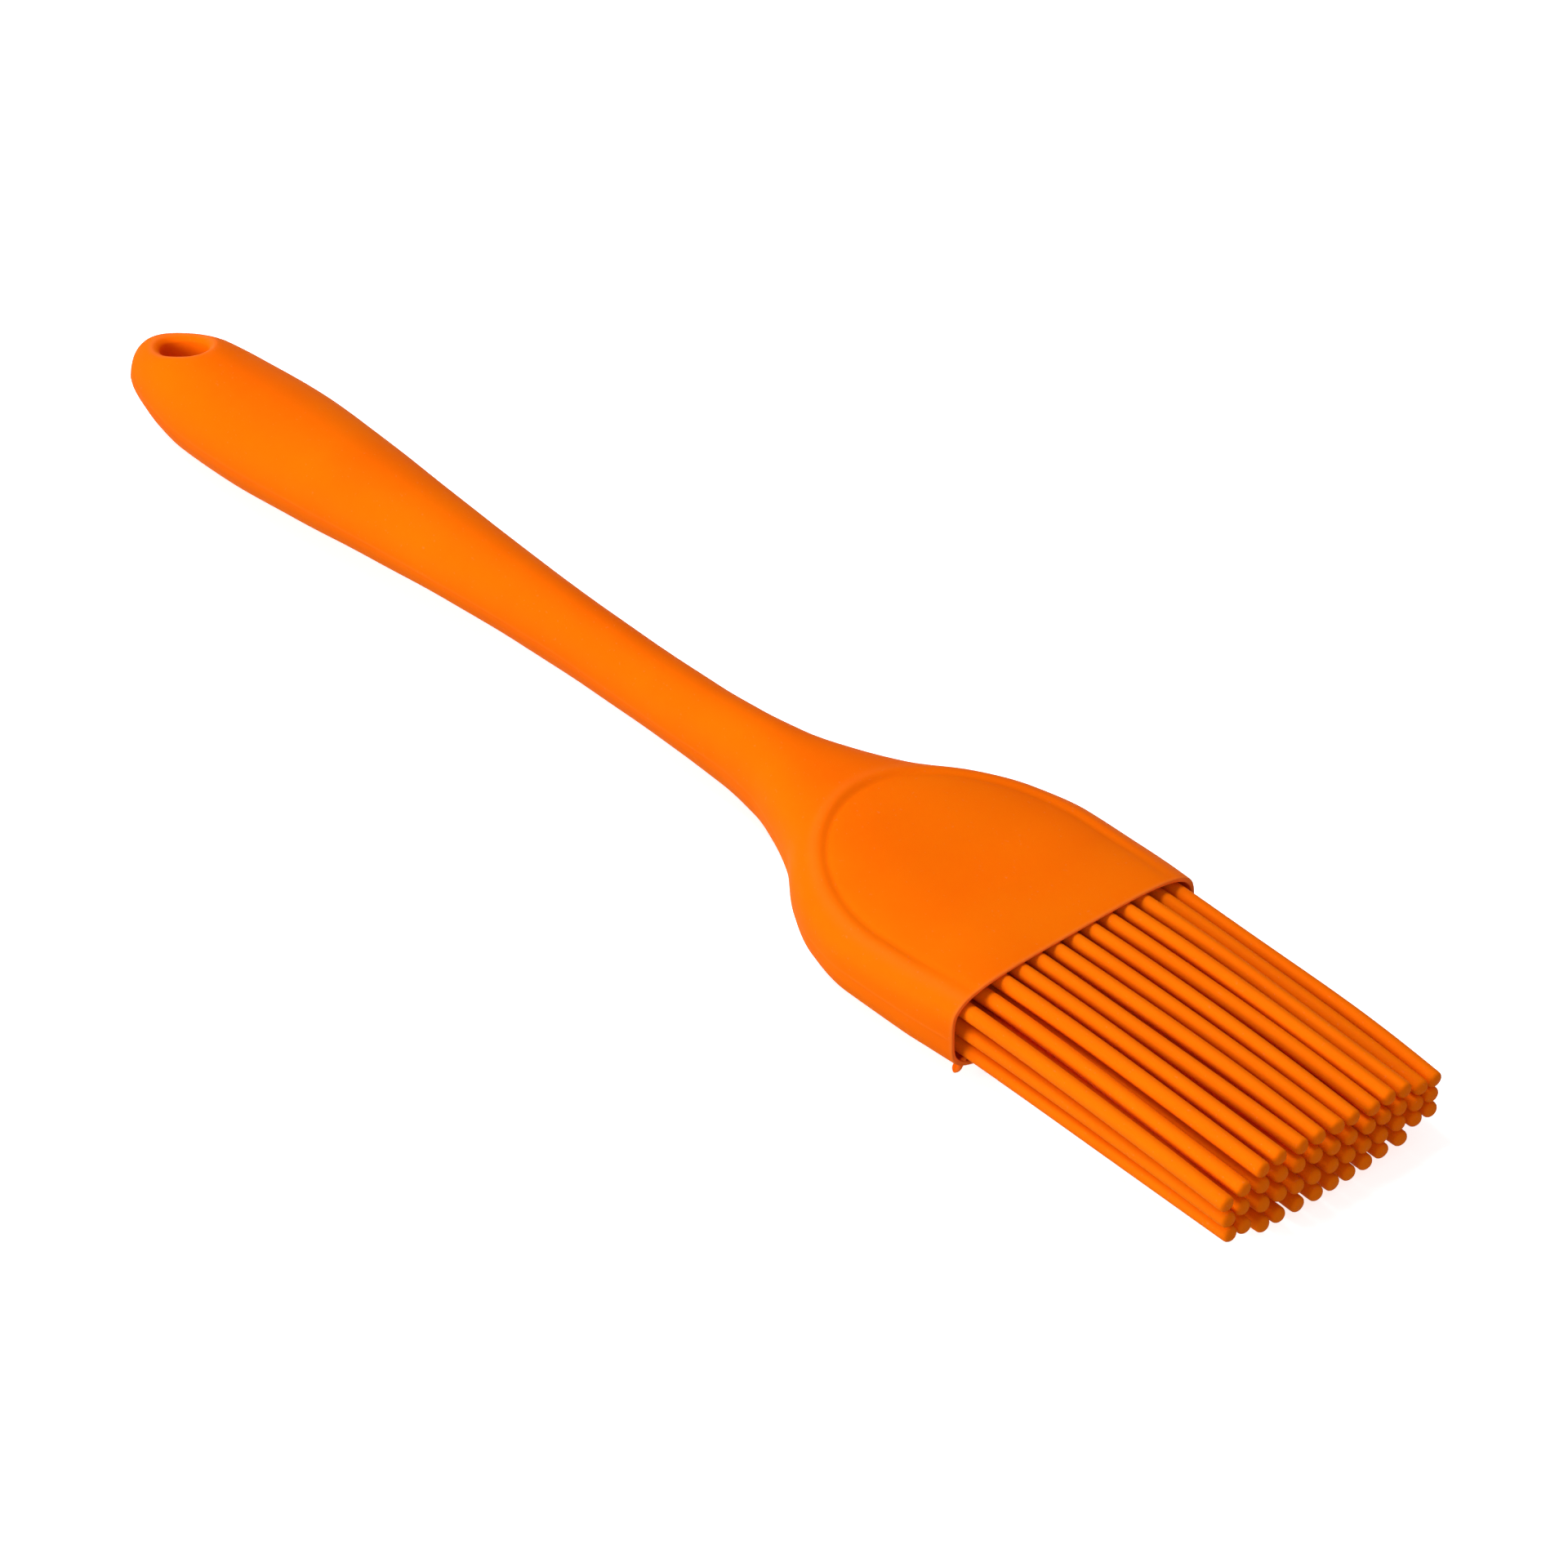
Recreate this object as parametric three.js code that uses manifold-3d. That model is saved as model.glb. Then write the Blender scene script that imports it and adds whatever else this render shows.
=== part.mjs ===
// Silicone pastry brush, 209 mm long, lying on its underside.
//
// One flexible silicone body forms the handle, the neck and the flat head.
// Inside it a stiff core runs from the head to just short of the hanging hole.
// The head opens forwards into an oval socket.  The bristle base sits in that
// socket, a few millimetres behind the lip, and carries 48 round bristles in
// 13 columns: three bristles in each of the two outer columns on both sides
// and four in each of the nine middle columns.
//
// Frame: millimetres, +X from the handle end towards the bristle tips, +Y
// across the head, +Z up.  Origin: under the middle of the brush, on the
// surface it lies on.
import * as THREE from 'three';
import { mergeVertices } from 'three/addons/utils/BufferGeometryUtils.js';
import Module from 'manifold-3d';

const wasm = await Module();
wasm.setup();

// ---------------------------------------------------------------- dimensions
const TOTAL_LENGTH = 209;              // handle end to bristle tips
const BODY_LENGTH = 167.12;            // handle end to the lip of the head
const END_X = -TOTAL_LENGTH / 2;       // handle end
const MOUTH_X = END_X + BODY_LENGTH;   // plane of the lip
const AXIS_Z = 5.83;                   // reference line above the resting plane

// Body sections: distance from the handle end, half width, half height,
// superellipse exponent, height of the section's centre over the reference line.
const BODY = [
  [0.00, 0.00, 0.00, 2.00, 0.75],
  [0.30, 2.28, 2.22, 2.00, 0.77],
  [1.40, 3.65, 3.21, 2.00, 0.84],
  [3.40, 5.21, 4.01, 2.00, 0.94],
  [6.40, 6.32, 5.14, 2.00, 1.00],
  [10.50, 7.25, 6.27, 2.00, 0.85],
  [15.21, 8.02, 6.44, 2.00, 0.68],
  [25.34, 8.48, 6.41, 2.00, 0.99],
  [37.49, 7.78, 6.09, 2.00, 1.25],
  [50.66, 6.65, 5.42, 2.00, 1.42],
  [63.82, 5.60, 4.75, 2.00, 1.45],
  [75.98, 4.72, 4.67, 2.00, 1.31],
  [87.12, 4.37, 4.50, 2.00, 1.11],
  [96.23, 4.45, 4.32, 2.00, 0.93],
  [104.33, 4.52, 4.55, 2.00, 0.81],
  [111.42, 4.44, 5.13, 2.11, 0.72],
  [118.51, 5.29, 5.64, 2.21, 0.64],
  [124.59, 7.39, 5.97, 2.36, 0.58],
  [130.66, 10.36, 6.31, 2.57, 0.51],
  [136.74, 14.91, 6.54, 2.78, 0.45],
  [142.82, 17.90, 6.30, 2.99, 0.39],
  [149.90, 19.32, 5.94, 3.23, 0.32],
  [159.02, 19.19, 5.92, 3.55, 0.23],
  [167.12, 18.63, 5.66, 4.30, 0.16],
];
const BODY_STATIONS = [0, 0.08, 0.3, 0.75, 1.4, 2.4, 3.8, 5.6, 8, 10.7, 13.5, 17, 22, 28, 36, 46, 56,
  66, 76, 86, 95, 103, 109, 114, 118.5, 122.5, 126, 129, 132, 135, 138, 141, 144.5, 149, 154.5, 161, 167.12];
const BODY_SEGMENTS = 40;
const FLAT_FROM = 132;                 // resting strip under the head, from the handle end
const FLAT_TO = 161;

// Hanging hole through the handle end, an oval along the handle.
const HOLE_X = END_X + 7.4;
const HOLE_HALF_LENGTH = 4.2;
const HOLE_HALF_WIDTH = 2.9;

// Sunk D-shaped panel on top of the head.
const PANEL_DEPTH = 0.35;
const PANEL_HALF_WIDTH = 16.35;
const PANEL_BACK = MOUTH_X - 35.2;     // apex of the rounded back end
const PANEL_ROUND = 20.4;              // length of the rounded back end
const PANEL_LIP_HALF_WIDTH = 15.5;     // half width where it reaches the lip

// Socket in the head: distance behind the lip, half width, half height, exponent.
const SOCKET = [
  [-1.0, 18.06, 5.30, 3.90],
  [0.0, 18.13, 5.34, 3.90],
  [2.0, 18.28, 5.40, 3.80],
  [5.0, 18.44, 5.42, 3.65],
  [11.3, 18.42, 5.32, 3.50],
];
const MOUTH_Z = AXIS_Z + 0.16;
const SOCKET_DEPTH = 11.3;

// Stiff core: distance from the handle end, half width, half height.
const CORE = [
  [19.0, 0.00, 0.00],
  [19.6, 1.60, 1.30],
  [21.4, 2.90, 2.30],
  [25.0, 3.90, 3.00],
  [31.0, 4.20, 3.20],
  [48.0, 3.60, 2.90],
  [66.0, 2.90, 2.60],
  [86.0, 2.50, 2.50],
  [104.0, 2.50, 2.50],
  [116.0, 2.80, 2.55],
  [123.0, 4.40, 2.60],
  [130.0, 7.60, 2.65],
  [137.0, 11.40, 2.70],
  [143.0, 13.00, 2.70],
  [155.52, 13.00, 2.70],
];
const CORE_EXPONENT = 2.6;
const CORE_SEGMENTS = 20;
const GAP = 0.3;                       // clearance between neighbouring pieces

// Bristle base in the socket.
const BASE_BACK = MOUTH_X - SOCKET_DEPTH + GAP;
const BASE_FRONT = MOUTH_X - 5.5;
const BASE_HALF_WIDTH = 18.08;
const BASE_HALF_HEIGHT = 5.00;
const BOSS_ROOT_RADIUS = 1.00;
const BOSS_TIP_RADIUS = 0.86;
const BOSS_CLEARANCE = 0.35;

// Bristles.
const BRISTLE_ROOT_RADIUS = 0.97;
const BRISTLE_TIP_RADIUS = 1.01;
const BRISTLE_PIVOT_X = MOUTH_X + 0.5; // centre of each bristle's round root
const BRISTLE_TIP_X = TOTAL_LENGTH / 2;
const BRISTLE_SEGMENTS = 8;
const COLUMN_PITCH = 2.68;
const ROW_Z = { 1: 4.02, 2: 2.40, 3: 1.36, 4: 0, 5: -1.36, 6: -2.40, 7: -4.02 };

// ---------------------------------------------------------------- helpers
// Monotone cubic interpolation of tabulated values.
function monotoneCubic(xs, ys) {
  const n = xs.length;
  const h = [], d = [], m = new Array(n).fill(0);
  for (let i = 0; i < n - 1; i++) {
    h.push(xs[i + 1] - xs[i]);
    d.push((ys[i + 1] - ys[i]) / h[i]);
  }
  for (let i = 1; i < n - 1; i++) {
    if (d[i - 1] * d[i] > 0) {
      const w1 = 2 * h[i] + h[i - 1], w2 = h[i] + 2 * h[i - 1];
      m[i] = (w1 + w2) / (w1 / d[i - 1] + w2 / d[i]);
    }
  }
  const endSlope = (h0, h1, d0, d1) => {
    let s = ((2 * h0 + h1) * d0 - h0 * d1) / (h0 + h1);
    if (Math.sign(s) !== Math.sign(d0)) s = 0;
    else if (Math.sign(d0) !== Math.sign(d1) && Math.abs(s) > 3 * Math.abs(d0)) s = 3 * d0;
    return s;
  };
  m[0] = endSlope(h[0], h[1], d[0], d[1]);
  m[n - 1] = endSlope(h[n - 2], h[n - 3], d[n - 2], d[n - 3]);
  return (x) => {
    let i = 0;
    while (i < n - 2 && x > xs[i + 1]) i++;
    const t = (x - xs[i]) / h[i];
    const a = ys[i], b = ys[i + 1];
    return (1 + 2 * t) * (1 - t) ** 2 * a + t * (1 - t) ** 2 * h[i] * m[i]
      + t * t * (3 - 2 * t) * b + t * t * (t - 1) * h[i] * m[i + 1];
  };
}

// The rounded handle end is interpolated over the root of the distance, so
// that it closes with a smooth, blunt nose.
const bodyKey = BODY.map((s) => Math.sqrt(s[0]));
const bodyW = monotoneCubic(bodyKey, BODY.map((s) => s[1]));
const bodyT = monotoneCubic(bodyKey, BODY.map((s) => s[2]));
const bodyN = monotoneCubic(bodyKey, BODY.map((s) => s[3]));
const bodyC = monotoneCubic(BODY.map((s) => s[0]), BODY.map((s) => s[4]));

// Position only, shared vertices merged, faces pointing out.
function closed(geometry) {
  geometry.deleteAttribute('normal');
  geometry.deleteAttribute('uv');
  let g = mergeVertices(geometry, 1e-5);
  const idx = [], p = g.attributes.position;
  let volume = 0;
  const a = new THREE.Vector3(), b = new THREE.Vector3(), c = new THREE.Vector3();
  for (let i = 0; i < g.index.count; i += 3) {
    const t = [g.index.getX(i), g.index.getX(i + 1), g.index.getX(i + 2)];
    if (t[0] === t[1] || t[1] === t[2] || t[0] === t[2]) continue;
    a.fromBufferAttribute(p, t[0]);
    b.fromBufferAttribute(p, t[1]);
    c.fromBufferAttribute(p, t[2]);
    volume += a.dot(b.cross(c));
    idx.push(t);
  }
  g.setIndex(idx.flatMap((t) => (volume < 0 ? [t[0], t[2], t[1]] : t)));
  return g;
}

// A closed solid through oval sections {x, w, t, n, z, tb}.  It starts as a
// lathe blank of unit radius, one profile point to a section, and each ring of
// the blank is then drawn out to its superellipse.
function loft(sections, segments, floor = -Infinity) {
  const last = sections.length - 1;
  const profile = [];
  profile.push(new THREE.Vector2(0, 0));
  for (let i = 0; i <= last; i++) if (sections[i].w > 0) profile.push(new THREE.Vector2(1, i));
  profile.push(new THREE.Vector2(0, last));
  const g = new THREE.LatheGeometry(profile, segments);
  const p = g.attributes.position;
  for (let v = 0; v < p.count; v++) {
    const s = sections[Math.round(p.getY(v))];
    const rho = Math.hypot(p.getX(v), p.getZ(v));
    const phi = Math.atan2(p.getX(v), p.getZ(v));
    const cs = Math.cos(phi), sn = Math.sin(phi);
    const k = rho < 0.5 ? 0 : (Math.abs(cs) ** s.n + Math.abs(sn) ** s.n) ** (-1 / s.n);
    const t = sn < 0 && s.tb ? s.tb : s.t;
    p.setXYZ(v, s.x, k * s.w * cs, Math.max(s.z + k * t * sn, floor));
  }
  return closed(g);
}

const toSolid = (g) => new wasm.Manifold(new wasm.Mesh({
  numProp: 3,
  vertProperties: new Float32Array(g.attributes.position.array),
  triVerts: new Uint32Array(g.index.array),
}));

function toGeometry(solid) {
  const m = solid.getMesh();
  const g = new THREE.BufferGeometry();
  const pos = new Float32Array(m.numVert * 3);
  for (let i = 0; i < m.numVert; i++) {
    for (let k = 0; k < 3; k++) pos[3 * i + k] = m.vertProperties[i * m.numProp + k];
  }
  g.setAttribute('position', new THREE.BufferAttribute(pos, 3));
  g.setIndex(Array.from(m.triVerts));
  return g;
}

// ---------------------------------------------------------------- silicone body
function bodySection(d, cut = 0) {
  const key = Math.sqrt(d);
  const z = AXIS_Z + bodyC(d);
  const s = { x: END_X + d, w: bodyW(key), t: bodyT(key) - cut, n: bodyN(key), z };
  if (d >= FLAT_FROM && d <= FLAT_TO) s.tb = z + 0.06;
  return s;
}

function siliconeBody() {
  let solid = toSolid(loft(BODY_STATIONS.map((d) => bodySection(d)), BODY_SEGMENTS, 0));

  // Sunk panel: everything over the lowered top face, inside a D outline.
  const lowered = BODY_STATIONS.filter((d) => d > 113).map((d) => {
    const fade = THREE.MathUtils.smoothstep(BODY_LENGTH - d, 1.5, 13);
    const s = bodySection(d, PANEL_DEPTH * fade - 0.08 * (1 - fade));
    return { ...s, tb: s.t };
  });
  lowered.push({ ...lowered[lowered.length - 1], x: MOUTH_X + 2 });
  const outline = new THREE.Shape();
  const half = [[MOUTH_X + 1, PANEL_LIP_HALF_WIDTH], [MOUTH_X - 3.5, 15.87], [MOUTH_X - 8, 16.18]];
  for (let i = 0; i <= 14; i++) {
    const a = (i / 14) * Math.PI / 2;
    half.push([PANEL_BACK + PANEL_ROUND - PANEL_ROUND * Math.sin(a), PANEL_HALF_WIDTH * Math.cos(a)]);
  }
  half.pop();
  const back = [PANEL_BACK, 0];
  const path = [...half, back, ...half.slice().reverse().map(([x, y]) => [x, -y])];
  outline.moveTo(path[0][0], path[0][1]);
  for (const [x, y] of path.slice(1)) outline.lineTo(x, y);
  outline.closePath();
  const prism = new THREE.ExtrudeGeometry(outline, { depth: 12, bevelEnabled: false, curveSegments: 1 });
  prism.translate(0, 0, AXIS_Z + 1);
  const panel = toSolid(closed(prism)).subtract(toSolid(loft(lowered, BODY_SEGMENTS)));
  solid = solid.subtract(panel);

  // Socket for the bristle base.
  const socket = SOCKET.map(([back2, w, t, n]) => ({ x: MOUTH_X - back2, w, t, n, z: MOUTH_Z })).reverse();
  solid = solid.subtract(toSolid(loft(socket, BODY_SEGMENTS)));

  // Pocket for the core, open into the socket.
  solid = solid.subtract(toSolid(loft(coreSections(GAP), CORE_SEGMENTS)));

  // Hanging hole.
  const hole = new THREE.CylinderGeometry(1, 1, 24, 24);
  hole.rotateX(Math.PI / 2);
  hole.scale(HOLE_HALF_LENGTH, HOLE_HALF_WIDTH, 1);
  hole.translate(HOLE_X, 0, AXIS_Z);
  solid = solid.subtract(toSolid(closed(hole)));
  return toGeometry(solid);
}

// ---------------------------------------------------------------- stiff core
function coreSections(grow) {
  const list = CORE.map(([d, w, t], i) => {
    const first = i === 0;
    return {
      x: END_X + d - (first ? grow : 0),
      w: first ? 0 : w + grow,
      t: first ? 0 : t + grow,
      n: CORE_EXPONENT,
      z: AXIS_Z + bodyC(d),
    };
  });
  if (grow > 0) {
    const s = list[list.length - 1];
    list.push({ ...s, x: MOUTH_X - SOCKET_DEPTH + 0.6 });
  }
  return list;
}

// ---------------------------------------------------------------- bristle base
function columns() {
  const list = [];
  for (let c = 1; c <= 13; c++) {
    const y = (c - 7) * COLUMN_PITCH;
    const rows = c <= 2 || c >= 12 ? [2, 4, 6] : [1, 3, 5, 7];
    list.push({ c, y, rows });
  }
  return list;
}

function bristleBase() {
  let solid = toSolid(loft([
    { x: BASE_BACK, w: BASE_HALF_WIDTH, t: BASE_HALF_HEIGHT, n: 3.45, z: MOUTH_Z },
    { x: BASE_FRONT - 0.5, w: BASE_HALF_WIDTH, t: BASE_HALF_HEIGHT, n: 3.45, z: MOUTH_Z },
    { x: BASE_FRONT, w: BASE_HALF_WIDTH - 0.4, t: BASE_HALF_HEIGHT - 0.4, n: 3.45, z: MOUTH_Z },
  ], 36));
  const tip = BRISTLE_PIVOT_X - BRISTLE_ROOT_RADIUS - BOSS_CLEARANCE;
  const root = BASE_FRONT - 0.6;
  for (const { y, rows } of columns()) {
    for (const r of rows) {
      const boss = new THREE.CylinderGeometry(BOSS_TIP_RADIUS, BOSS_ROOT_RADIUS, tip - root, BRISTLE_SEGMENTS);
      boss.rotateZ(-Math.PI / 2);
      boss.translate((tip + root) / 2, y, MOUTH_Z + ROW_Z[r]);
      solid = solid.add(toSolid(closed(boss)));
    }
  }
  return toGeometry(solid);
}

// ---------------------------------------------------------------- bristles
function bristle() {
  const r = BRISTLE_ROOT_RADIUS, e = BRISTLE_TIP_RADIUS, L = BRISTLE_TIP_X - BRISTLE_PIVOT_X;
  const profile = [
    [0, -r], [r * Math.SQRT1_2, -r * Math.SQRT1_2], [r, 0], [(r + e) / 2, L / 2],
    [e, L - 0.75], [0.86 * e, L - 0.32], [0.5 * e, L - 0.07], [0, L],
  ].map(([a, b]) => new THREE.Vector2(a, b));
  const g = new THREE.LatheGeometry(profile, BRISTLE_SEGMENTS);
  g.rotateZ(-Math.PI / 2);
  return closed(g);
}

// ---------------------------------------------------------------- assembly
const group = new THREE.Group();

function add(name, geometry, material, position = [0, 0, 0]) {
  const mesh = new THREE.Mesh(geometry, material);
  mesh.name = name;
  mesh.position.set(...position);
  group.add(mesh);
}

add('silicone_body', siliconeBody(),
  new THREE.MeshStandardMaterial({ color: 0xfa7608, roughness: 0.62, metalness: 0 }));
add('stiffener_core', loft(coreSections(0), CORE_SEGMENTS),
  new THREE.MeshStandardMaterial({ color: 0xd8d2c4, roughness: 0.5, metalness: 0 }));
add('bristle_base', bristleBase(),
  new THREE.MeshStandardMaterial({ color: 0xf26c06, roughness: 0.65, metalness: 0 }));

for (const { c, y, rows } of columns()) {
  for (const r of rows) {
    add(`bristle_c${String(c).padStart(2, '0')}_r${r}`, bristle(),
      new THREE.MeshStandardMaterial({ color: 0xfa7a10, roughness: 0.6, metalness: 0 }),
      [BRISTLE_PIVOT_X, y, MOUTH_Z + ROW_Z[r]]);
  }
}

export default group;
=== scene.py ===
import math

import bpy
import bmesh
import numpy as np
from mathutils import Matrix, Vector


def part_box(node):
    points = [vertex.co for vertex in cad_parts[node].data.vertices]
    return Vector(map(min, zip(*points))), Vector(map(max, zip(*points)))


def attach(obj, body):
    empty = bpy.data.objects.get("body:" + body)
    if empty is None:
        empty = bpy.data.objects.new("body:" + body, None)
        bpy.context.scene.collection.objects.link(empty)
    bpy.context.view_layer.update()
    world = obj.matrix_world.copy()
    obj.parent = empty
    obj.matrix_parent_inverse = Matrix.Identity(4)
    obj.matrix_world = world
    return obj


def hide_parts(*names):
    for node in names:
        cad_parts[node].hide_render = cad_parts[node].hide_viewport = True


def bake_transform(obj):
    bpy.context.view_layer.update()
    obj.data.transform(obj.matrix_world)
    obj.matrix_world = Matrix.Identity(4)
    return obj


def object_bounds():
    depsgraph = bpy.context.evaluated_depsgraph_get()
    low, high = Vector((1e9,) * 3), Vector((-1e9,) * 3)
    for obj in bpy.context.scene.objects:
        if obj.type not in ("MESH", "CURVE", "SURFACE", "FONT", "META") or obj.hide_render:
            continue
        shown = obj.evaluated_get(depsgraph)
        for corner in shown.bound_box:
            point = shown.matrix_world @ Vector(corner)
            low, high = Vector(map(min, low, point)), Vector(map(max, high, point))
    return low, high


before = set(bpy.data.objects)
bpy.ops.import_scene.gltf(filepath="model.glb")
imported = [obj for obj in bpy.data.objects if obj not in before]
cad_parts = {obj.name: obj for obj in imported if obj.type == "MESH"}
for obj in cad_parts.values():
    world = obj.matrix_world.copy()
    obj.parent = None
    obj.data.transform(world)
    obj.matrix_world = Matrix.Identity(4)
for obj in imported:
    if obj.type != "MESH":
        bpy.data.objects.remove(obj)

CAD_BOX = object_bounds()
MM = 0.001
rng = np.random.default_rng(7)

# ------------------------------------------------------------------ reference
# The frame gives every place: the body's ends, the lip, the bristle roots.
body_lo, body_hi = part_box("silicone_body")
END_X = body_lo.x / MM
MOUTH_X = body_hi.x / MM
BODY_LENGTH = MOUTH_X - END_X
base_lo, base_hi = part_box("bristle_base")
MOUTH_Z = (base_lo.z + base_hi.z) / 2 / MM
AXIS_Z = MOUTH_Z - 0.16
TIP_X = CAD_BOX[1].x / MM

# Body sections: distance from the handle end, half width, half height,
# superellipse exponent, height of the centre over the reference line (mm).
BODY = np.array([
    [0.00, 0.00, 0.00, 2.00, 0.75],
    [0.30, 2.28, 2.22, 2.00, 0.77],
    [1.40, 3.65, 3.21, 2.00, 0.84],
    [3.40, 5.21, 4.01, 2.00, 0.94],
    [6.40, 6.32, 5.14, 2.00, 1.00],
    [10.50, 7.25, 6.27, 2.00, 0.85],
    [15.21, 8.02, 6.44, 2.00, 0.68],
    [25.34, 8.48, 6.41, 2.00, 0.99],
    [37.49, 7.78, 6.09, 2.00, 1.25],
    [50.66, 6.65, 5.42, 2.00, 1.42],
    [63.82, 5.60, 4.75, 2.00, 1.45],
    [75.98, 4.72, 4.67, 2.00, 1.31],
    [87.12, 4.37, 4.50, 2.00, 1.11],
    [96.23, 4.45, 4.32, 2.00, 0.93],
    [104.33, 4.52, 4.55, 2.00, 0.81],
    [111.42, 4.44, 5.13, 2.11, 0.72],
    [118.51, 5.29, 5.64, 2.21, 0.64],
    [124.59, 7.39, 5.97, 2.36, 0.58],
    [130.66, 10.36, 6.31, 2.57, 0.51],
    [136.74, 14.91, 6.54, 2.78, 0.45],
    [142.82, 17.90, 6.30, 2.99, 0.39],
    [149.90, 19.32, 5.94, 3.23, 0.32],
    [159.02, 19.19, 5.92, 3.55, 0.23],
    [167.12, 18.63, 5.66, 4.30, 0.16],
])
SOCKET = [  # distance behind the lip, half width, half height, exponent
    [0.14, 18.14, 5.345, 3.90],
    [0.8, 18.19, 5.37, 3.87],
    [2.0, 18.28, 5.40, 3.80],
    [3.4, 18.37, 5.41, 3.72],
    [5.0, 18.44, 5.42, 3.65],
    [8.0, 18.44, 5.38, 3.58],
    [11.3, 18.42, 5.32, 3.50],
]


def pchip(xs, ys):
    """Monotone cubic through the points, vectorised."""
    xs, ys = np.asarray(xs, float), np.asarray(ys, float)
    h, d = np.diff(xs), np.diff(ys) / np.diff(xs)
    m = np.zeros(len(xs))
    for i in range(1, len(xs) - 1):
        if d[i - 1] * d[i] > 0:
            w1, w2 = 2 * h[i] + h[i - 1], h[i] + 2 * h[i - 1]
            m[i] = (w1 + w2) / (w1 / d[i - 1] + w2 / d[i])

    def end(h0, h1, d0, d1):
        s = ((2 * h0 + h1) * d0 - h0 * d1) / (h0 + h1)
        if np.sign(s) != np.sign(d0):
            return 0.0
        if np.sign(d0) != np.sign(d1) and abs(s) > 3 * abs(d0):
            return 3 * d0
        return s

    m[0], m[-1] = end(h[0], h[1], d[0], d[1]), end(h[-1], h[-2], d[-1], d[-2])

    def f(x):
        x = np.asarray(x, float)
        i = np.clip(np.searchsorted(xs, x, side="right") - 1, 0, len(xs) - 2)
        t = (x - xs[i]) / h[i]
        return (
            (1 + 2 * t) * (1 - t) ** 2 * ys[i]
            + t * (1 - t) ** 2 * h[i] * m[i]
            + t * t * (3 - 2 * t) * ys[i + 1]
            + t * t * (t - 1) * h[i] * m[i + 1]
        )

    return f


key = np.sqrt(BODY[:, 0])
body_w, body_t, body_n = (pchip(key, BODY[:, k]) for k in (1, 2, 3))
body_c = pchip(BODY[:, 0], BODY[:, 4])


def smooth(x, a, b):
    t = np.clip((np.asarray(x, float) - a) / (b - a), 0, 1)
    return t * t * (3 - 2 * t)


def section(d):
    """Half width, upper and lower half height, exponent and centre height at distance d from the handle end."""
    d = np.asarray(d, float)
    k = np.sqrt(np.maximum(d, 0))
    t, z = body_t(k), AXIS_Z + body_c(d)
    flat = smooth(d, 129.5, 133) * (1 - smooth(d, 159, 163))
    tb = t * (1 - flat) + (z + 0.05) * flat
    return body_w(k), t, tb, body_n(k), z


def oval(w, t, tb, n, z, phi, grow=0.0):
    """Points (y, z) round a superellipse section."""
    c, s = np.cos(phi), np.sin(phi)
    k = (np.abs(c) ** n + np.abs(s) ** n) ** (-1.0 / n)
    y = k * (w + grow) * c
    zz = z + k * (np.where(s < 0, tb, t) + grow) * s
    return y, zz


def mesh_object(name, verts, faces):
    me = bpy.data.meshes.new(name)
    me.from_pydata([tuple(v) for v in verts], [], faces)
    me.validate()
    me.update()
    ob = bpy.data.objects.new(name, me)
    bpy.context.scene.collection.objects.link(ob)
    return ob


def shade(ob, angle=None):
    for p in ob.data.polygons:
        p.use_smooth = True
    if angle is not None:
        bm = bmesh.new()
        bm.from_mesh(ob.data)
        for e in bm.edges:
            if len(e.link_faces) == 2 and e.calc_face_angle(0.0) > angle:
                e.smooth = False
        bm.to_mesh(ob.data)
        bm.free()


def rings_to_faces(count, segs, first_pole=True, last_pole=True):
    """Faces of a closed tube of `count` rings, with a pole vertex before and after."""
    faces = []
    o = 1 if first_pole else 0
    if first_pole:
        faces += [(0, o + (j + 1) % segs, o + j) for j in range(segs)]
    for i in range(count - 1):
        a, b = o + i * segs, o + (i + 1) * segs
        faces += [
            (a + j, a + (j + 1) % segs, b + (j + 1) % segs, b + j) for j in range(segs)
        ]
    if last_pole:
        a, p = o + (count - 1) * segs, o + count * segs
        faces += [(p, a + j, a + (j + 1) % segs) for j in range(segs)]
    return faces


def outward(ob):
    bm = bmesh.new()
    bm.from_mesh(ob.data)
    bmesh.ops.recalc_face_normals(bm, faces=bm.faces)
    if bm.calc_volume(signed=True) < 0:
        bmesh.ops.reverse_faces(bm, faces=bm.faces)
    bm.to_mesh(ob.data)
    bm.free()
    return ob


# ------------------------------------------------------------------ the D-shaped panel
PANEL_HALF_WIDTH, PANEL_BACK, PANEL_ROUND = 16.35, -35.2, 20.4
_a = np.linspace(0, math.pi / 2, 60)
_half = np.concatenate([
    [[3.0, 15.35], [0.0, 15.55], [-3.5, 15.87], [-8.0, 16.18]],
    np.stack([PANEL_BACK + PANEL_ROUND - PANEL_ROUND * np.sin(_a), PANEL_HALF_WIDTH * np.cos(_a)], 1),
])
PANEL_LINE = np.concatenate([_half, (_half * [1, -1])[::-1][1:]])


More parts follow.
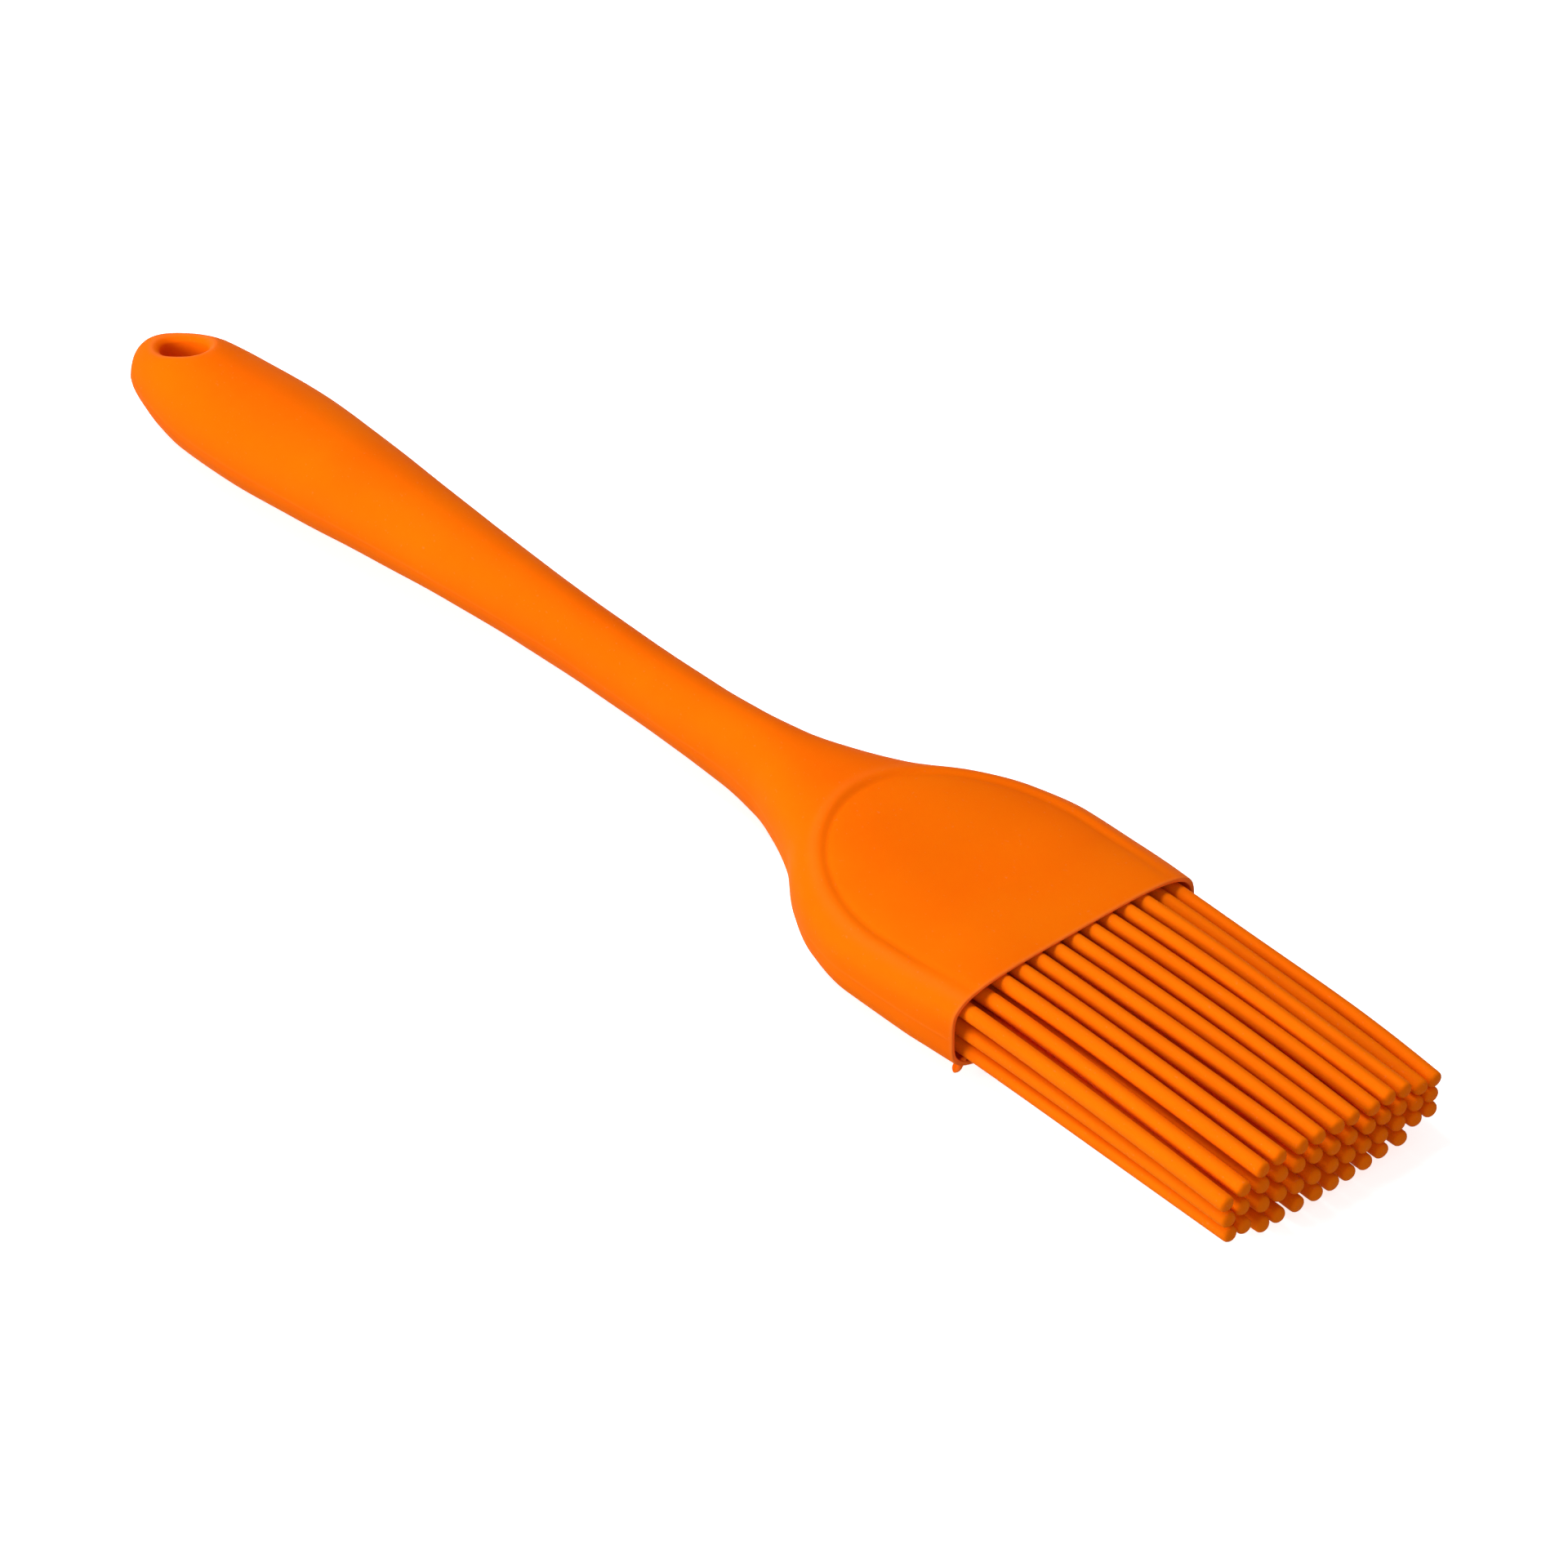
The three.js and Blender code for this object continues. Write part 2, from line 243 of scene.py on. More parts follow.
def panel_distance(x, y):
    """Signed distance from the panel's outline, in mm, negative inside; x is measured from the lip."""
    p = np.stack([x.ravel(), y.ravel()], 1)
    best = np.full(len(p), 1e9)
    for a, b in zip(PANEL_LINE[:-1], PANEL_LINE[1:]):
        ab = b - a
        t = np.clip(((p - a) @ ab) / (ab @ ab), 0, 1)
        best = np.minimum(best, np.linalg.norm(p - a - t[:, None] * ab, axis=1))
    xx, yy = p[:, 0], np.abs(p[:, 1])
    straight = np.interp(xx, [-14.8, -8.0, -3.5, 0.0, 3.0], [16.35, 16.18, 15.87, 15.55, 15.35])
    u = np.clip((PANEL_BACK + PANEL_ROUND - xx) / PANEL_ROUND, 0, 1)
    half = np.where(xx > PANEL_BACK + PANEL_ROUND, straight, PANEL_HALF_WIDTH * np.sqrt(1 - u * u))
    inside = (yy < half) & (xx > PANEL_BACK)
    return np.where(inside, -best, best).reshape(x.shape)


# ------------------------------------------------------------------ silicone body
def body_mesh():
    segs = 264
    d = np.concatenate([
        np.array([0.008, 0.03, 0.07, 0.13, 0.22, 0.34, 0.5, 0.7, 0.95, 1.25, 1.6, 2.0, 2.5, 3.1, 3.8, 4.6, 5.5]),
        np.arange(6.5, 117.5, 1.05),
        np.arange(117.7, 128.8, 0.6),
        np.arange(129.0, 135.5, 0.3),
        np.arange(135.8, BODY_LENGTH - 0.45, 0.42),
    ])
    phi = np.arange(segs) * 2 * math.pi / segs
    # outer face, then the lip's outer edge
    rings = [(x, 0.0) for x in d] + [(BODY_LENGTH - b, g) for b, g in (
        (0.40, 0.0), (0.24, -0.004), (0.12, -0.025), (0.045, -0.07), (0.008, -0.13))]
    dd = np.array([r[0] for r in rings])
    grow = np.array([r[1] for r in rings])
    w, t, tb, n, z = (q[:, None] for q in section(np.minimum(dd, BODY_LENGTH)))
    P = np.zeros((len(rings), segs, 3))
    P[..., 0] = (END_X + dd)[:, None]
    P[..., 1], P[..., 2] = oval(w, t, tb, n, z, phi[None, :], grow[:, None])

    # surface normals of the smooth body
    du = np.gradient(P, axis=0)
    dv = (np.roll(P, -1, 1) - np.roll(P, 1, 1)) / 2
    N = np.cross(dv, du)
    N /= np.maximum(np.linalg.norm(N, axis=2, keepdims=True), 1e-12)
    mid = P.mean(1, keepdims=True)
    if np.mean(np.sum(N * (P - mid), 2)) < 0:
        N = -N

    H = np.zeros(P.shape[:2])
    top = (np.sin(phi) > 0.05)[None, :] & (dd > 118)[:, None]
    idx = np.where(top)
    xm, ym = P[idx][:, 0] - MOUTH_X, P[idx][:, 1]
    s = panel_distance(xm, ym)
    back = smooth(-xm, 0.5, 13)            # the step fades towards the lip
    near = smooth(-xm, -0.5, 2.5)
    h = (
        -0.34 * back * smooth(-s, -0.45, 0.80)
        - 0.085 * (0.35 + 0.65 * near) * np.exp(-(((s + 0.55) / 0.45) ** 2))
        + 0.05 * (0.4 + 0.6 * near) * np.exp(-(((s - 0.95) / 0.65) ** 2))
    )
    H[idx] = h
    # mould parting line along both sides, with slightly uneven flash
    line = 0.035 + 0.025 * np.sin(dd * 0.71) * np.sin(dd * 0.173 + 1.2)
    fade = smooth(dd, 0.8, 4.0) * (1 - smooth(dd, BODY_LENGTH - 2, BODY_LENGTH - 0.3))
    H[:, 0] += line * fade
    H[:, segs // 2] += line * fade
    for j in (1, -1):
        H[:, j] -= 0.012 * fade
        H[:, segs // 2 + j] -= 0.012 * fade
    # faint unevenness of a soft moulding
    H += 0.012 * (np.sin(dd[:, None] * 0.21 + 2 * phi[None, :]) + np.sin(dd[:, None] * 0.47 - 3 * phi[None, :] + 1.0)) * smooth(dd, 2, 12)[:, None]
    P = P + N * H[..., None]
    P[..., 2] = np.maximum(P[..., 2], 0.0)
    P[..., 0] = np.clip(P[..., 0], END_X, MOUTH_X)

    lip = []
    w1, t1, tb1, n1, z1 = section(BODY_LENGTH)
    for back_, w, t, n in ((0.0, 18.13 + 0.16, 5.34 + 0.11, 4.1), (0.03, 18.13 + 0.07, 5.34 + 0.05, 4.0), (0.08, 18.13 + 0.02, 5.34 + 0.015, 3.92)):
        y, zz = oval(w, t, t, n, MOUTH_Z, phi)
        lip.append(np.stack([np.full(segs, MOUTH_X - back_), y, zz], 1))
    for back_, w, t, n in SOCKET:
        y, zz = oval(w, t, t, n, MOUTH_Z, phi)
        lip.append(np.stack([np.full(segs, MOUTH_X - back_), y, zz], 1))
    R = np.concatenate([P, np.array(lip)])
    verts = np.concatenate([
        [[END_X, 0, AXIS_Z + body_c(0.0)]],
        R.reshape(-1, 3),
        [[MOUTH_X - 11.3, 0, MOUTH_Z]],
    ]) * MM
    return outward(mesh_object("silicone_skin", verts, rings_to_faces(len(R), segs)))


def hole_cutter():
    """Oval bore with rounded rims that follow the handle's top and bottom faces."""
    xh, A, B, rho, segs = END_X + 7.4, 4.2, 2.85, 1.15, 96
    psi = np.arange(segs) * 2 * math.pi / segs

    def ring(off, depth, side):
        x = xh + (A + off) * np.cos(psi)
        y = (B + off) * np.sin(psi)
        w, t, tb, n, z = section(x - END_X)
        q = np.clip(1 - (np.abs(y) / w) ** n, 1e-4, 1) ** (1 / n)
        zs = z + side * t * q
        eps = 0.02
        def height(xx, yy):
            w, t, tb, n, z = section(xx - END_X)
            return z + side * t * np.clip(1 - (np.abs(yy) / w) ** n, 1e-4, 1) ** (1 / n)
        gx = (height(x + eps, y) - height(x - eps, y)) / (2 * eps)
        gy = (height(x, y + eps) - height(x, y - eps)) / (2 * eps)
        nrm = np.stack([-gx, -gy, np.ones(segs)], 1) * side
        nrm /= np.linalg.norm(nrm, axis=1, keepdims=True)
        return np.stack([x, y, zs], 1) - nrm * depth

    rows = []
    arc = np.radians([78, 68, 57, 46, 35, 24, 12, 0])
    for side in (1, -1):
        part = [ring(0.79 * rho + 1.25, -0.245, side)]
        part += [ring(rho - rho * math.cos(a), rho - rho * math.sin(a), side) for a in arc]
        far = part[0].copy()
        far[:, 2] = AXIS_Z + side * 14
        part.insert(0, far)
        rows += part if side == 1 else part[::-1]
    R = np.array(rows)
    verts = np.concatenate([[[xh, 0, AXIS_Z + 14]], R.reshape(-1, 3), [[xh, 0, AXIS_Z - 14]]]) * MM
    return outward(mesh_object("cutter", verts, rings_to_faces(len(R), segs)))


def flash_nub():
    """Small torn bead of flash left at the lip's lower corner."""
    bm = bmesh.new()
    bmesh.ops.create_icosphere(bm, subdivisions=4, radius=1.0)
    for v in bm.verts:
        c = v.co
        k = 1 + 0.16 * math.sin(3.1 * c.x + 1.3) * math.sin(2.7 * c.y - 0.4) + 0.10 * math.sin(5.3 * c.z + c.x * 2)
        v.co = Vector((c.x * 0.48, c.y * 1.02, c.z * 0.50)) * k
        v.co.z -= 0.16 * abs(v.co.y)
    me = bpy.data.meshes.new("nub")
    bm.to_mesh(me)
    bm.free()
    me.transform(Matrix.Scale(MM, 4))
    me.transform(Matrix.Translation(Vector((MOUTH_X - 0.50, -17.05, AXIS_Z - 4.15)) * MM) @ Matrix.Rotation(math.radians(35), 4, "X"))
    ob = bpy.data.objects.new("nub", me)
    bpy.context.scene.collection.objects.link(ob)
    return ob


def boolean(ob, other, op):
    m = ob.modifiers.new("b", "BOOLEAN")
    m.operation, m.solver, m.object = op, "EXACT", other
    dg = bpy.context.evaluated_depsgraph_get()
    new = bpy.data.meshes.new_from_object(ob.evaluated_get(dg))
    ob.modifiers.clear()
    old = ob.data
    ob.data = new
    bpy.data.meshes.remove(old)
    bpy.data.objects.remove(other)


skin = body_mesh()
boolean(skin, hole_cutter(), "DIFFERENCE")
boolean(skin, flash_nub(), "UNION")
skin.data.name = "silicone_skin"
shade(skin)
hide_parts("silicone_body")
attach(skin, "handle")

# ------------------------------------------------------------------ bristle base
def base_pad():
    segs = 160
    phi = np.arange(segs) * 2 * math.pi / segs
    front = MOUTH_X - 5.5
    rows = [(-5.2, -0.5), (-5.1, -0.15), (-4.8, 0.0), (-0.7, 0.0), (-0.35, -0.05), (-0.12, -0.2), (0.0, -0.45),
            (0.02, -1.4), (0.03, -2.6), (0.03, -3.8)]
    R = []
    for dx, g in rows:
        y, z = oval(18.08, 5.00, 5.00, 3.45, MOUTH_Z, phi, g)
        x = np.full(segs, front + dx)
        if dx > -0.2:
            x = x + 0.05 * np.sin(y * 2.344) * np.cos(z * 2.1)   # slight swell round the bristle roots
        R.append(np.stack([x, y, z], 1))
    R = np.array(R)
    verts = np.concatenate([[[front - 5.2, 0, MOUTH_Z]], R.reshape(-1, 3), [[front + 0.03, 0, MOUTH_Z]]]) * MM
    return outward(mesh_object("base_pad", verts, rings_to_faces(len(R), segs)))


pad = base_pad()
shade(pad, math.radians(50))
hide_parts("bristle_base")
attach(pad, "handle")

# ------------------------------------------------------------------ bristles
# Where each bristle's tip leans to: column, row from the top -> (y, z) in mm
# from the middle of the mouth.
TIPS = {
    (1, 2): (-17.35, 1.94), (2, 2): (-14.83, 2.60), (3, 1): (-12.06, 3.73), (4, 1): (-9.49, 4.03),
    (5, 1): (-6.17, 3.71), (6, 1): (-3.56, 3.56), (7, 1): (-0.75, 3.42), (8, 1): (1.69, 3.27),
    (9, 1): (4.85, 2.85), (10, 1): (7.22, 3.06), (11, 1): (9.64, 2.82), (12, 2): (12.20, 1.77),
    (13, 2): (14.30, 1.72),
    (1, 4): (-17.01, -0.41), (2, 4): (-14.94, 0.15), (3, 3): (-11.96, 1.50), (4, 3): (-9.13, 1.45),
    (5, 3): (-6.53, 1.32), (6, 3): (-3.91, 1.15), (7, 3): (-1.12, 0.74), (8, 3): (1.50, 0.71),
    (9, 3): (4.23, 0.68), (10, 3): (6.64, 0.65), (11, 3): (9.05, 0.65), (12, 4): (11.66, -0.24),
    (13, 4): (13.96, -0.19),
    (1, 6): (-16.69, -2.56), (2, 6): (-14.57, -2.66), (3, 5): (-11.82, -1.17), (4, 5): (-9.23, -1.21),
    (5, 5): (-6.60, -1.60), (6, 5): (-3.99, -1.75), (7, 5): (-1.25, -1.74), (8, 5): (1.26, -1.72),
    (9, 5): (3.76, -1.74), (10, 5): (6.31, -1.78), (11, 5): (8.95, -1.49), (12, 6): (11.55, -2.26),
    (13, 6): (13.86, -2.21),
    (3, 7): (-11.69, -4.08), (4, 7): (-9.32, -4.10), (5, 7): (-6.46, -4.20), (6, 7): (-3.61, -4.26),
    (7, 7): (-1.10, -4.24), (8, 7): (1.41, -4.22), (9, 7): (3.93, -4.12), (10, 7): (6.45, -3.94),
    (11, 7): (9.33, -3.77),
}
ROOT_R, TIP_R = 0.98, 0.99
SEGS = 20


def bristle(col, row):
    node = f"bristle_c{col:02d}_r{row}"
    lo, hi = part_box(node)
    y0, z0 = (lo.y + hi.y) / 2 / MM, (lo.z + hi.z) / 2 / MM
    if row <= 2:
        z0 += 0.22 if row == 1 else (0.70 if col in (2, 12) else 0.36)
    if row == 1:                               # and stay under the lip's inner wall
        z0 = min(z0, MOUTH_Z + 5.30 * (1 - (abs(y0) / 18.2) ** 3.7) ** (1 / 3.7) - ROOT_R - 0.08)
    y0 += {2: 0.28, 12: 0.10, 13: -0.16}.get(col, 0.0)
    y1, z1 = TIPS[(col, row)][0], AXIS_Z + TIPS[(col, row)][1]
    x0, x1 = MOUTH_X - 5.75, TIP_X
    L = x1 - MOUTH_X
    wav = rng.normal(size=6)
    power = 1.45 + 0.25 * rng.random()
    dome = 0.56 + 0.10 * rng.random()            # length of the rounded tip
    squareness = 0.60 + 0.14 * rng.random()
    tipcut = rng.normal(size=2) * 0.04
    xs = np.concatenate([
        [x0, x0 + 0.2, x0 + 0.5, x0 + 0.9, x0 + 1.5],
        np.linspace(MOUTH_X - 3.2, x1 - 0.95, 25),
        x1 - dome * (1 - np.sin(np.radians([12, 26, 40, 53, 65, 76, 84]))),
    ])
    rad = np.interp(xs, [MOUTH_X, x1 - 0.9], [ROOT_R, TIP_R])
    rad[:5] += np.array([0.06, 0.04, 0.02, 0.01, 0.0])
    rad[-7:] = TIP_R * np.cos(np.radians([12, 26, 40, 53, 65, 76, 84])) ** squareness
    u = np.clip((xs - MOUTH_X) / L, 0, 1)
    lean = u ** power
    bow = np.sin(math.pi * u)
    y = y0 + (y1 - y0) * lean + 0.10 * wav[0] * bow + 0.05 * wav[1] * np.sin(2 * math.pi * u)
    z = z0 + (z1 - z0) * lean + 0.08 * wav[2] * bow + 0.04 * wav[3] * np.sin(2 * math.pi * u)
    if col in (12, 13):                        # the far corner is packed tighter
        y = y - (0.10 if col == 12 else 0.17) * bow
        z = z + (0.16 if col == 12 and row == 2 else 0.0) * bow
    C = np.stack([xs, y, z], 1)
    T = np.gradient(C, axis=0)
    T /= np.linalg.norm(T, axis=1, keepdims=True)
    T[:5] = [1, 0, 0]
    a = np.arange(SEGS) * 2 * math.pi / SEGS
    up = np.array([0.0, 0, 1])
    side = np.cross(T, up)
    side /= np.linalg.norm(side, axis=1, keepdims=True)
    over = np.cross(side, T)
    R = C[:, None, :] + rad[:, None, None] * (np.cos(a)[None, :, None] * side[:, None, :] + np.sin(a)[None, :, None] * over[:, None, :])
    # moulded tips are a little uneven, and never reach past the CAD tip
    R[-7:, :, 0] += (tipcut[0] * np.cos(a) + tipcut[1] * np.sin(a)) * np.linspace(0.3, 1, 7)[:, None]
    R[..., 0] = np.minimum(R[..., 0], x1 - 0.004)
    pole = R[-1].mean(0)
    pole[0] = min(pole[0] + 0.012, x1)
    verts = np.concatenate([[C[0]], R.reshape(-1, 3), [pole]]) * MM
    ob = outward(mesh_object(f"bristle_{col:02d}_{row}", verts, rings_to_faces(len(R), SEGS)))
    shade(ob, math.radians(48))
    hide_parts(node)
    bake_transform(ob)
    return ob


bristles = []
for col in range(1, 14):
    for row in ([2, 4, 6] if col <= 2 or col >= 12 else [1, 3, 5, 7]):
        bristles.append(bristle(col, row))


# ------------------------------------------------------------------ materials
def material(name):
    m = bpy.data.materials.new(name)
    m.use_nodes = True
    nt = m.node_tree
    nt.nodes.clear()
    out = nt.nodes.new("ShaderNodeOutputMaterial")
    bsdf = nt.nodes.new("ShaderNodeBsdfPrincipled")
    nt.links.new(bsdf.outputs[0], out.inputs[0])
    return m, nt, bsdf


def noise(nt, coord, scale, detail=2.0, rough=0.5):
    n = nt.nodes.new("ShaderNodeTexNoise")
    n.inputs["Scale"].default_value = scale
    n.inputs["Detail"].default_value = detail
    n.inputs["Roughness"].default_value = rough
    nt.links.new(coord, n.inputs["Vector"])
    return n.outputs["Fac"]


def ramp(nt, fac, stops):
    r = nt.nodes.new("ShaderNodeValToRGB")
    el = r.color_ramp.elements
    while len(el) < len(stops):
        el.new(0.5)
    for e, (p, c) in zip(el, stops):
        e.position, e.color = p, (*c, 1) if len(c) == 3 else c
    nt.links.new(fac, r.inputs[0])
    return r.outputs[0]


def maths(nt, op, a, b=None, clamp=False):
    m = nt.nodes.new("ShaderNodeMath")
    m.operation, m.use_clamp = op, clamp
    for i, v in enumerate((a, b)):
        if v is None:
            continue
        if isinstance(v, (int, float)):
            m.inputs[i].default_value = v
        else:
            nt.links.new(v, m.inputs[i])
    return m.outputs[0]


def mix_rgb(nt, fac, a, b, mode="MIX"):
    m = nt.nodes.new("ShaderNodeMix")
    m.data_type, m.blend_type = "RGBA", mode
    for sock, v in ((m.inputs[0], fac), (m.inputs[6], a), (m.inputs[7], b)):
        if isinstance(v, (int, float)):
            sock.default_value = v
        elif isinstance(v, tuple):
            sock.default_value = (*v, 1) if len(v) == 3 else v
        else:
            nt.links.new(v, sock)
    return m.outputs[2]


def silicone(name, colour, dark, light, rough=(0.50, 0.66), bump=0.05, sss=0.10, wear_and_painted_light=False):
    """Matte moulded silicone: slightly cloudy colour, fine spark-eroded grain, rubbed edges; with the flag on, also
    a painted highlight and painted shade from the vertex attributes.
    """
    m, nt, bsdf = material(name)
    co = nt.nodes.new("ShaderNodeTexCoord").outputs["Object"]
    cloud = noise(nt, co, 55, 4.0, 0.55)
    broad = noise(nt, co, 14, 2.0, 0.5)
    both = maths(nt, "ADD", maths(nt, "MULTIPLY", cloud, 0.6), maths(nt, "MULTIPLY", broad, 0.4))
    col = ramp(nt, both, [(0.34, dark), (0.5, colour), (0.66, light)])
    # sparse paler dust
    speck = noise(nt, co, 2600, 1.0, 0.4)
    dust = maths(nt, "MULTIPLY", maths(nt, "GREATER_THAN", speck, 0.735), 0.30)
    col = mix_rgb(nt, dust, col, tuple(min(1.0, c * 0.9 + 0.06) for c in light))
    grain = noise(nt, co, 5200, 3.0, 0.6)
    fine = noise(nt, co, 1400, 3.0, 0.55)
    scratch_map = nt.nodes.new("ShaderNodeMapping")
    scratch_map.inputs["Scale"].default_value = (0.12, 1.0, 1.0)
    scratch_map.inputs["Rotation"].default_value = (0.0, 0.0, 0.35)
    nt.links.new(co, scratch_map.inputs["Vector"])
    rub = noise(nt, scratch_map.outputs[0], 420, 4.0, 0.6)
    r = nt.nodes.new("ShaderNodeMapRange")
    r.inputs["From Min"].default_value, r.inputs["From Max"].default_value = 0.30, 0.70
    r.inputs["To Min"].default_value, r.inputs["To Max"].default_value = rough
    nt.links.new(maths(nt, "ADD", maths(nt, "MULTIPLY", rub, 0.5), maths(nt, "MULTIPLY", cloud, 0.5)), r.inputs["Value"])
    rough_out = r.outputs["Result"]
    if wear_and_painted_light:
        # lighter rubbed edges, plus a painted highlight along the outside of the panel rim
        at = nt.nodes.new("ShaderNodeAttribute")
        at.attribute_name = "wear_and_painted_light"
        amount = maths(nt, "MULTIPLY", at.outputs["Fac"], maths(nt, "ADD", 0.55, maths(nt, "MULTIPLY", rub, 0.9)), clamp=True)
        col = mix_rgb(nt, maths(nt, "MULTIPLY", amount, 0.55), col, tuple(min(1.0, c * 1.02 + 0.035) for c in light))
        rough_out = maths(nt, "SUBTRACT", rough_out, maths(nt, "MULTIPLY", amount, 0.12))
        # painted shade: darker just inside the panel border and inside the socket
        sh = nt.nodes.new("ShaderNodeAttribute")
        sh.attribute_name = "painted_shade"
        col = mix_rgb(nt, maths(nt, "MULTIPLY", sh.outputs["Fac"], 0.5), col, tuple(c * 0.72 for c in dark))
    nt.links.new(col, bsdf.inputs["Base Color"])
    nt.links.new(rough_out, bsdf.inputs["Roughness"])
    b1 = nt.nodes.new("ShaderNodeBump")
    b1.inputs["Strength"].default_value = bump
    b1.inputs["Distance"].default_value = 0.00006
    nt.links.new(maths(nt, "ADD", grain, fine), b1.inputs["Height"])
    b2 = nt.nodes.new("ShaderNodeBump")
    b2.inputs["Strength"].default_value = bump * 0.8
    b2.inputs["Distance"].default_value = 0.0004
    nt.links.new(cloud, b2.inputs["Height"])
    nt.links.new(b1.outputs[0], b2.inputs["Normal"])
    nt.links.new(b2.outputs[0], bsdf.inputs["Normal"])
    bsdf.inputs["Specular IOR Level"].default_value = 0.01
    bsdf.inputs["Sheen Weight"].default_value = 0.04
    bsdf.inputs["Sheen Roughness"].default_value = 0.16
    bsdf.inputs["Sheen Tint"].default_value = (1.0, 0.86, 0.78, 1)
    bsdf.inputs["Subsurface Weight"].default_value = sss
    bsdf.inputs["Subsurface Radius"].default_value = (1.0, 0.35, 0.08)
    bsdf.inputs["Subsurface Scale"].default_value = 0.0012
    return m


MAT_BODY = silicone("silicone_orange", (0.970, 0.152, 0.0006), (0.950, 0.137, 0.0005), (0.980, 0.168, 0.0009), wear_and_painted_light=True)
MAT_BRISTLE = silicone("silicone_bristle", (0.970, 0.164, 0.0007), (0.950, 0.148, 0.0006), (0.980, 0.182, 0.0011), rough=(0.46, 0.62), bump=0.035)
MAT_BASE = silicone("silicone_base", (0.86, 0.130, 0.0020), (0.80, 0.115, 0.0018), (0.90, 0.150, 0.0030), rough=(0.55, 0.70))


def nylon():
    m, nt, bsdf = material("core_nylon")
    co = nt.nodes.new("ShaderNodeTexCoord").outputs["Object"]
    fibre = nt.nodes.new("ShaderNodeMapping")
    fibre.inputs["Scale"].default_value = (0.15, 1.0, 1.0)
    nt.links.new(co, fibre.inputs["Vector"])
    f = noise(nt, fibre.outputs[0], 900, 4.0, 0.6)
    nt.links.new(ramp(nt, f, [(0.35, (0.60, 0.55, 0.45)), (0.65, (0.72, 0.68, 0.58))]), bsdf.inputs["Base Color"])
    nt.links.new(maths(nt, "ADD", 0.38, maths(nt, "MULTIPLY", f, 0.25)), bsdf.inputs["Roughness"])
    return m


def assign(ob, mat):
    ob.data.materials.clear()
    ob.data.materials.append(mat)


assign(skin, MAT_BODY)
assign(pad, MAT_BASE)
for b in bristles:
    assign(b, MAT_BRISTLE)
assign(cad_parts["stiffener_core"], nylon())

# rubbed edges round the hole, at the lip and along the parting line, a painted highlight along the panel rim, and
# painted shade at the panel border and inside the socket, kept with the vertices
co = np.zeros(len(skin.data.vertices) * 3)
skin.data.vertices.foreach_get("co", co)
co = co.reshape(-1, 3) / MM
X, Y, Z = co.T
wear_and_painted_light = np.zeros(len(co))
rim = np.hypot((X - (END_X + 7.4)) / 4.2, Y / 2.85)
wear_and_painted_light = np.maximum(wear_and_painted_light, 0.8 * np.exp(-(((rim - 1.16) / 0.10) ** 2)) * (rim > 1.02))
wear_and_painted_light = np.maximum(wear_and_painted_light, 0.8 * smooth(X, MOUTH_X - 0.5, MOUTH_X - 0.05))
w_, t_, tb_, n_, z_ = section(np.clip(X - END_X, 0.01, BODY_LENGTH))
wear_and_painted_light = np.maximum(wear_and_painted_light, 0.30 * np.exp(-(((Z - z_) / 0.16) ** 2)) * (np.abs(Y) > 0.8 * w_))
painted_shade = np.zeros(len(co))
on_top = (Z > z_) & (X > END_X + 118)
pd = np.full(len(co), 50.0)
pd[on_top] = panel_distance(X[on_top] - MOUTH_X, Y[on_top])
# painted shade: a dark band just inside the panel border
painted_shade = np.maximum(painted_shade, 0.16 * np.exp(-(((pd + 0.35) / 0.45) ** 2)))
# painted highlight: a light band just outside the panel border
wear_and_painted_light = np.maximum(wear_and_painted_light, 0.22 * np.exp(-(((pd - 1.0) / 0.6) ** 2)))
# painted shade inside the socket, behind the lip
inside = (X < MOUTH_X - 0.8) & (X > MOUTH_X - 12) & ((np.abs(Y) / 18.42) ** 3.5 + (np.abs(Z - MOUTH_Z) / 5.38) ** 3.5 < 1.04)
painted_shade[inside] = 0.8
for nm, val in (("wear_and_painted_light", wear_and_painted_light), ("painted_shade", painted_shade)):
    at = skin.data.attributes.new(nm, "FLOAT", "POINT")
    at.data.foreach_set("value", val.astype(np.float32))

